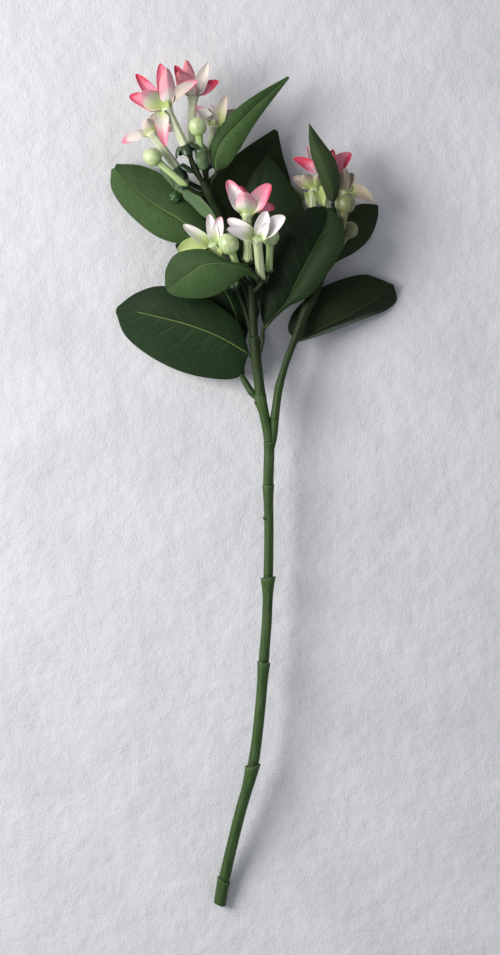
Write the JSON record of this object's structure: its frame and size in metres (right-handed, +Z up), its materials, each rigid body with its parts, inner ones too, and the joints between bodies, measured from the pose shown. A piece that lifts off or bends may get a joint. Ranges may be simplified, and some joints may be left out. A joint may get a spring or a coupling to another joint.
{
  "type": "artificial madagascar jasmine stem",
  "caption": "Artificial flowering stem lying down, with a jointed moulded stem, three flower clusters, buds and broad fabric leaves.",
  "frame": {"origin": "on the surface that the stem lies on, under the middle of its outline", "axes": "+Z up from the surface, +Y from the cut end towards the flowers, +X to the right seen from above with the flowers at the top"},
  "size_m": [0.2253, 0.6598, 0.0841],
  "materials": {
    "stem_plastic": "satin moulded plastic with fine lengthwise streaks",
    "leaf_fabric": "fine printed satin weave with pale ribs",
    "petal_fabric": "thin fabric, dyed from pale green through white to pink tips",
    "bud_plastic": "glossy pale green moulding"
  },
  "bodies": {
    "root": {"main_stem": "stem_plastic", "branch_right": "stem_plastic", "branch_left": "stem_plastic", "branch_centre": "stem_plastic", "leaf_top": "leaf_fabric", "leaf_back_upper": "leaf_fabric", "leaf_back_lower": "leaf_fabric", "leaf_left": "leaf_fabric", "leaf_strip": "leaf_fabric", "leaf_front": "leaf_fabric", "leaf_large": "leaf_fabric", "leaf_centre_right": "leaf_fabric", "leaf_far_right": "leaf_fabric", "leaf_low_right": "leaf_fabric", "leaf_upright": "leaf_fabric", "leaf_under": "leaf_fabric", "bloom_a1": "petal_fabric", "bloom_a2": "petal_fabric", "bloom_a3": "petal_fabric", "bloom_a4": "petal_fabric", "bloom_b1": "petal_fabric", "bloom_b2": "petal_fabric", "bloom_b3": "petal_fabric", "bloom_c1": "petal_fabric", "bloom_c2": "petal_fabric", "bloom_c3": "petal_fabric", "bud_a1": "bud_plastic", "bud_a2": "bud_plastic", "bud_b1": "bud_plastic", "bud_b2": "bud_plastic", "bud_c1": "bud_plastic", "bud_c2": "bud_plastic", "bud_c3": "bud_plastic"}
  },
  "joints": []
}
